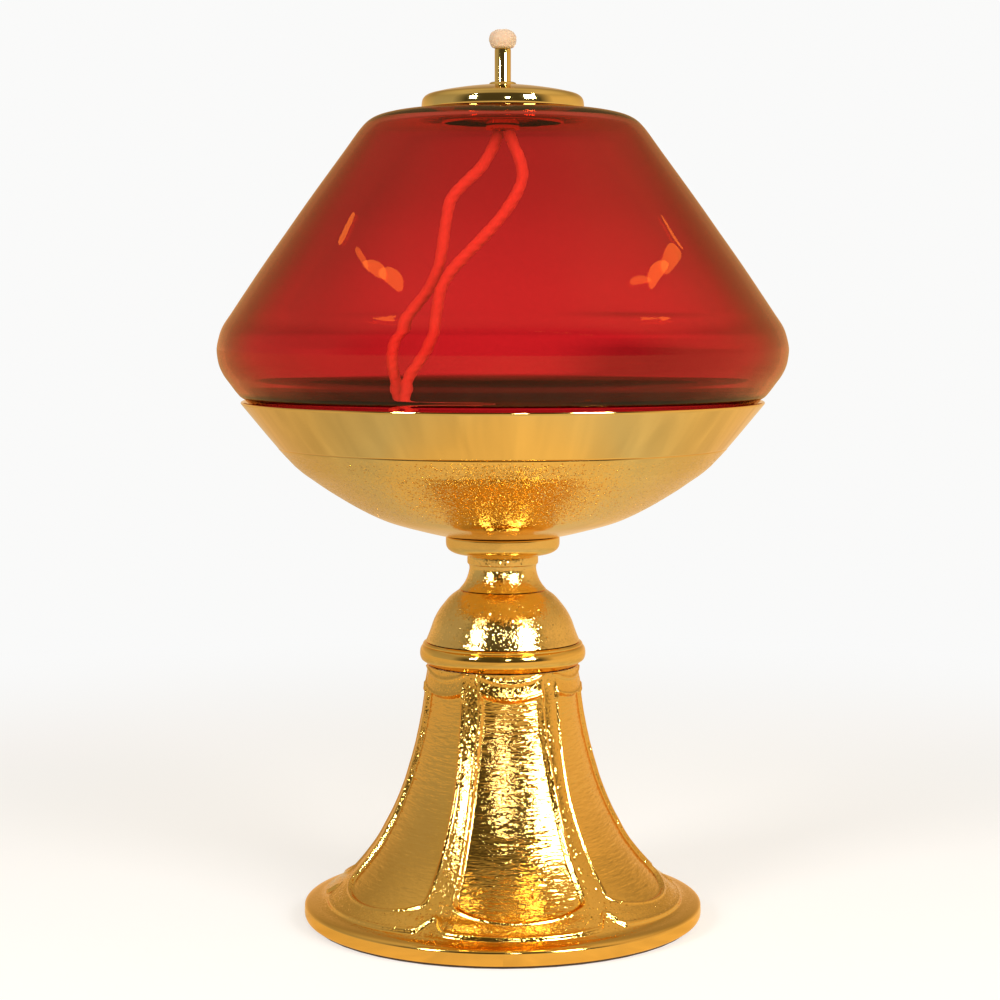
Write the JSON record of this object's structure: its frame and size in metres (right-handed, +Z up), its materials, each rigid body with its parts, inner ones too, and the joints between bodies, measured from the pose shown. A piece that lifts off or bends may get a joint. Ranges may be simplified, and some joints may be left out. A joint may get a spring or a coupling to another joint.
{
  "type": "sanctuary lamp",
  "caption": "Standing sanctuary lamp: flared panelled gilt brass foot, ringed stem and spun bowl carrying a lift-off ruby glass oil globe with brass burner cap and hanging wick.",
  "frame": {"origin": "centre of the felt pad's underside, on the surface the lamp stands on", "axes": "+Z up along the lamp's axis, -Y toward the front"},
  "size_m": [0.2154, 0.2154, 0.3385],
  "materials": {
    "chased_gilt": "gilt cast brass with fine matt sanded ridges and finely chased sunk panels",
    "sanded_gilt": "gilt brass with a fine sparkling sanded texture",
    "spun_gilt": "spun gilt brass, polished with fine turned lines",
    "polished_gilt": "mirror polished gilt brass",
    "steel": "plain zinc plated",
    "cork": "pressed cork",
    "rubber": "matt black rubber",
    "felt": "dark brown felt",
    "ruby_glass": "clear ruby blown glass, fire polished",
    "wick_fibre": "soft braided glass fibre"
  },
  "bodies": {
    "stand": {"felt_pad": "felt", "foot_base_plate": "steel", "foot_shell": "chased_gilt", "bead_ring": "polished_gilt", "stem_dome": "sanded_gilt", "stem_neck": "sanded_gilt", "stem_flange": "polished_gilt", "bowl": "spun_gilt", "tie_rod": "steel", "foot_washer": "steel", "foot_nut": "steel", "bowl_washer": "steel", "bowl_nut": "steel", "globe_seat_ring": "cork"},
    "globe": {"globe": "ruby_glass"},
    "cap_seat": {"neck_gasket": "rubber"},
    "burner": {"burner_cap": "polished_gilt", "burner_plug": "polished_gilt", "wick_tube": "polished_gilt", "tube_nut": "polished_gilt", "wick_holder": "polished_gilt", "wick_strand_left": "wick_fibre", "wick_strand_right": "wick_fibre"},
    "wick": {"wick_core": "wick_fibre", "wick_tip": "wick_fibre"}
  },
  "joints": [
    {"name": "globe_lift", "type": "slide", "parent": "stand", "child": "globe", "axis": [0, 0, 1], "range_m": [0, 0.06]},
    {"name": "burner_turn", "type": "hinge", "parent": "globe", "child": "cap_seat", "pos_m": [0, 0, 0.3124], "axis": [0, 0, 1], "continuous": true},
    {"name": "burner_lift", "type": "slide", "parent": "cap_seat", "child": "burner", "axis": [0, 0, 1], "range_m": [0, 0.035]},
    {"name": "wick_raise", "type": "slide", "parent": "burner", "child": "wick", "axis": [0, 0, 1], "range_m": [0, 0.005]}
  ]
}
